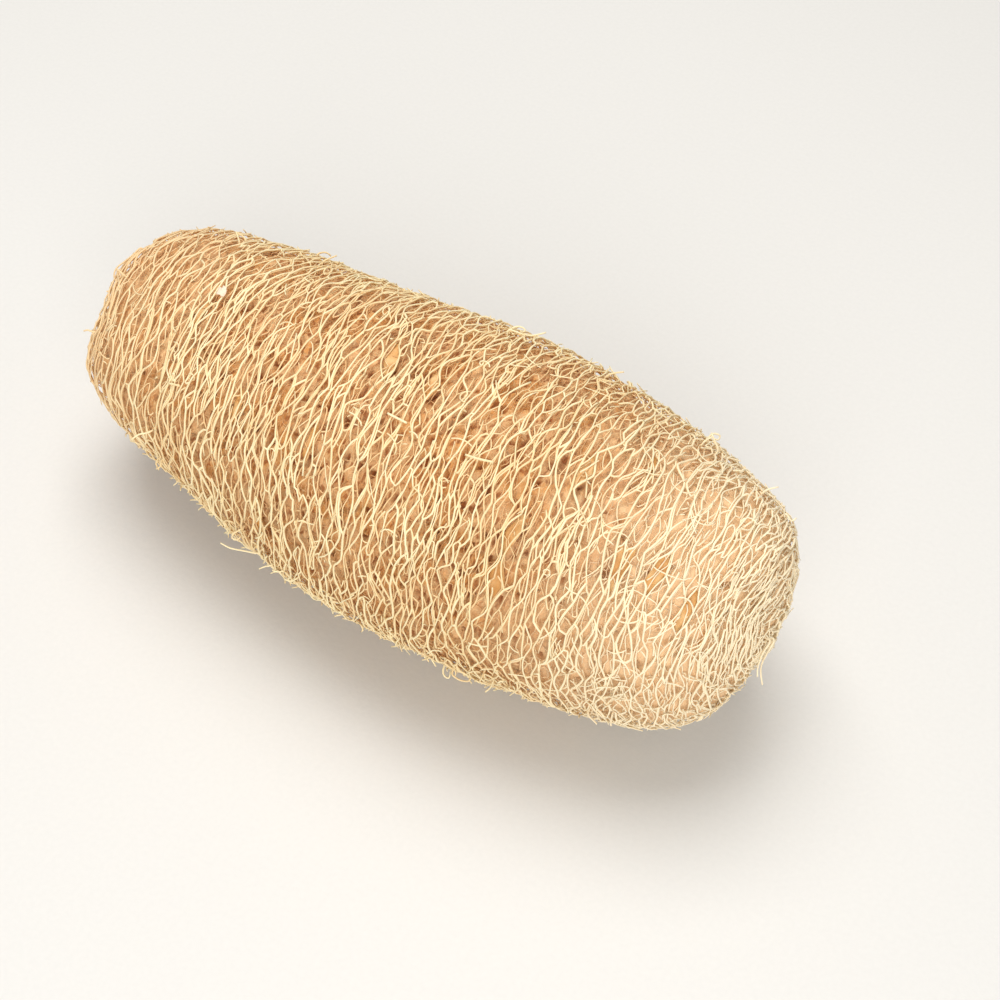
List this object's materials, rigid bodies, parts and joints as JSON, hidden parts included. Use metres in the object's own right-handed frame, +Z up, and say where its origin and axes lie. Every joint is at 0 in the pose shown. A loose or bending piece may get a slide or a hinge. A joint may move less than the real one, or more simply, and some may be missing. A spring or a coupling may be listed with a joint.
{
  "type": "natural loofah sponge",
  "caption": "Whole dried loofah: a blunt-ended fibrous barrel with a raised net of fibres round its girth, used as a bath or kitchen scrubber.",
  "frame": {"origin": "centre of the flat spot's plane under the middle of the overall box, on the surface it rests on", "axes": "+X along the sponge towards its fatter end, +Y across it, +Z up from the surface it lies on"},
  "size_m": [0.179, 0.079, 0.073],
  "materials": {
    "dried_fibre": "matt, dry plant fibre"
  },
  "bodies": {
    "root": {"loofah": "dried_fibre"}
  },
  "joints": []
}
